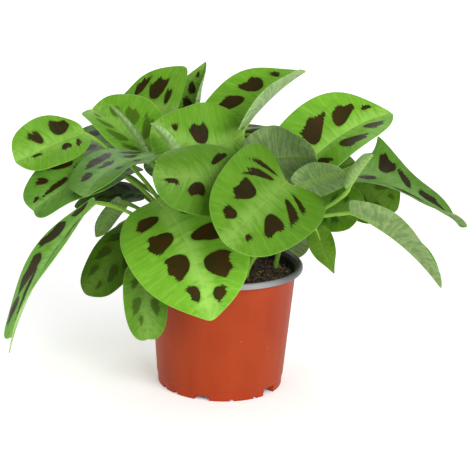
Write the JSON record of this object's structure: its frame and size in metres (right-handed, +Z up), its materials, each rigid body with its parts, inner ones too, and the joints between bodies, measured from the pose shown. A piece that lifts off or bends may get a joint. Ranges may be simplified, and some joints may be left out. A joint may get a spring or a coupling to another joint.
{
  "type": "potted prayer plant",
  "caption": "Prayer plant with broad green leaves marked by dark brown blotches, in a thin round terracotta-coloured nursery pot with a dark rim.",
  "frame": {"origin": "on the surface that the pot stands on, at the pot's axis, which is the middle of the plant's box to within 2 mm", "axes": "+Z up along the pot's axis; -Y towards the viewer of the picture; +X to the viewer's right, along the plant's widest spread"},
  "size_m": [0.3342, 0.2282, 0.2281],
  "materials": {
    "pot_plastic": "thin thermoformed plastic, satin terracotta outside, dark grey inside and on the rim",
    "potting_soil": "loose damp peat and bark mix with a few pale fibres",
    "leaf_green": "silky fresh green leaf with dark brown blotches between the side veins",
    "leaf_grey_green": "duller grey-green leaf or pale glaucous underside, silky",
    "leaf_dark": "dark green shaded leaf, silky"
  },
  "bodies": {
    "root": {"pot": "pot_plastic", "soil": "potting_soil", "leaf_front_left": "leaf_green", "leaf_front_right": "leaf_green", "leaf_front_middle": "leaf_green", "leaf_upper_middle": "leaf_green", "leaf_top_left": "leaf_green", "leaf_top_folded": "leaf_green", "leaf_top_right": "leaf_green", "leaf_right_high": "leaf_green", "leaf_middle_turned": "leaf_grey_green", "leaf_right_turned": "leaf_grey_green", "leaf_right_rolled": "leaf_grey_green", "leaf_right_long": "leaf_grey_green", "leaf_right_drooping": "leaf_grey_green", "leaf_right_shaded": "leaf_dark", "leaf_right_small": "leaf_green", "leaf_right_hanging": "leaf_dark", "leaf_left_far": "leaf_green", "leaf_left_low": "leaf_grey_green", "leaf_left_near": "leaf_grey_green", "leaf_left_high": "leaf_green", "leaf_left_thin": "leaf_grey_green", "leaf_left_rolled": "leaf_grey_green", "leaf_middle_rolled": "leaf_green", "leaf_left_long": "leaf_grey_green", "leaf_left_curled": "leaf_grey_green", "leaf_left_under": "leaf_dark", "leaf_pot_left": "leaf_green", "leaf_left_shaded": "leaf_dark", "leaf_right_behind": "leaf_dark", "leaf_back_far_left": "leaf_dark", "leaf_back_left": "leaf_green", "leaf_back_left_low": "leaf_dark", "leaf_back_middle": "leaf_green", "leaf_back_middle_low": "leaf_dark", "leaf_back_right": "leaf_green", "leaf_back_right_low": "leaf_dark", "leaf_back_far_right": "leaf_dark"}
  },
  "joints": []
}
